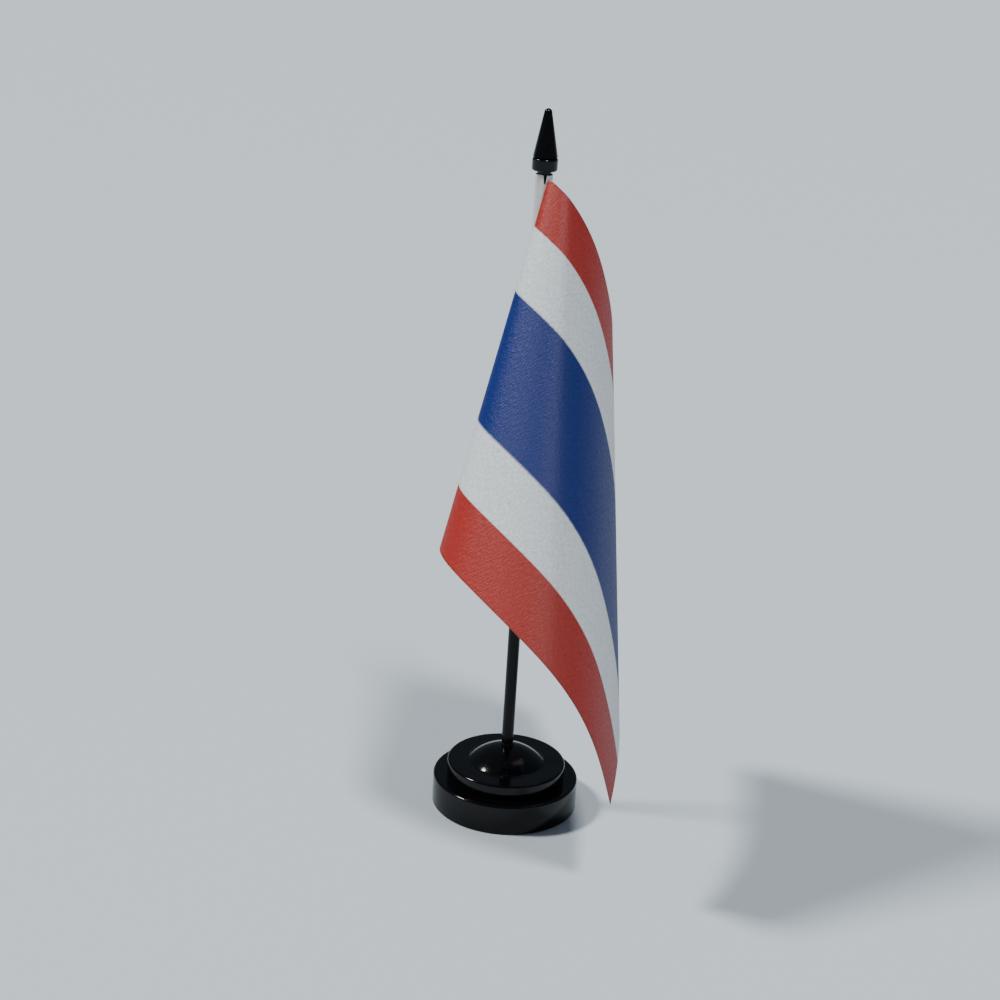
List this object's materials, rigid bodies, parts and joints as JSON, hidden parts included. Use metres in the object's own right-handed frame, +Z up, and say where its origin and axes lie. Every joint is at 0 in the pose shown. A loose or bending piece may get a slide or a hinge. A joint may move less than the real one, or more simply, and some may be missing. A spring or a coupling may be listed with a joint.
{
  "type": "desk flag stand",
  "caption": "Desk flag stand: a round two-tier weighted base, a slim pole with a spear finial, and a striped satin flag that hangs in folds and turns on its sleeve.",
  "frame": {"origin": "centre of the base's underside, on the surface that it rests on", "axes": "+Z up along the pole; -Y is the front, the side that the flag's folds face"},
  "size_m": [0.0774, 0.142, 0.3013],
  "materials": {
    "base_plastic": "high gloss black moulding",
    "cast_weight": "rough cast, painted grey-black",
    "cover_plastic": "fine matte texture",
    "screw_steel": "zinc plated",
    "pad_foam": "closed cell foam",
    "pole_plastic": "gloss black extruded tube",
    "finial_plastic": "high gloss black moulding",
    "sleeve_cloth": "white satin sleeve",
    "flag_satin": "printed satin in red, white and blue stripes"
  },
  "bodies": {
    "base": {"base_shell": "base_plastic", "ballast_ring": "cast_weight", "bottom_cover": "cover_plastic", "cover_screws": "screw_steel", "grip_pad": "pad_foam"},
    "staff": {"pole": "pole_plastic"},
    "top": {"finial": "finial_plastic"},
    "flag": {"hoist_sleeve": "sleeve_cloth", "flag_cloth": "flag_satin"}
  },
  "joints": [
    {"name": "pole_lift", "type": "slide", "parent": "base", "child": "staff", "axis": [0, 0, 1], "range_m": [0, 0.025]},
    {"name": "finial_pull", "type": "slide", "parent": "staff", "child": "top", "axis": [0, 0, 1], "range_m": [0, 0.014]},
    {"name": "flag_swivel", "type": "hinge", "parent": "staff", "child": "flag", "pos_m": [0, 0, 0.2], "axis": [0, 0, 1], "continuous": true}
  ]
}
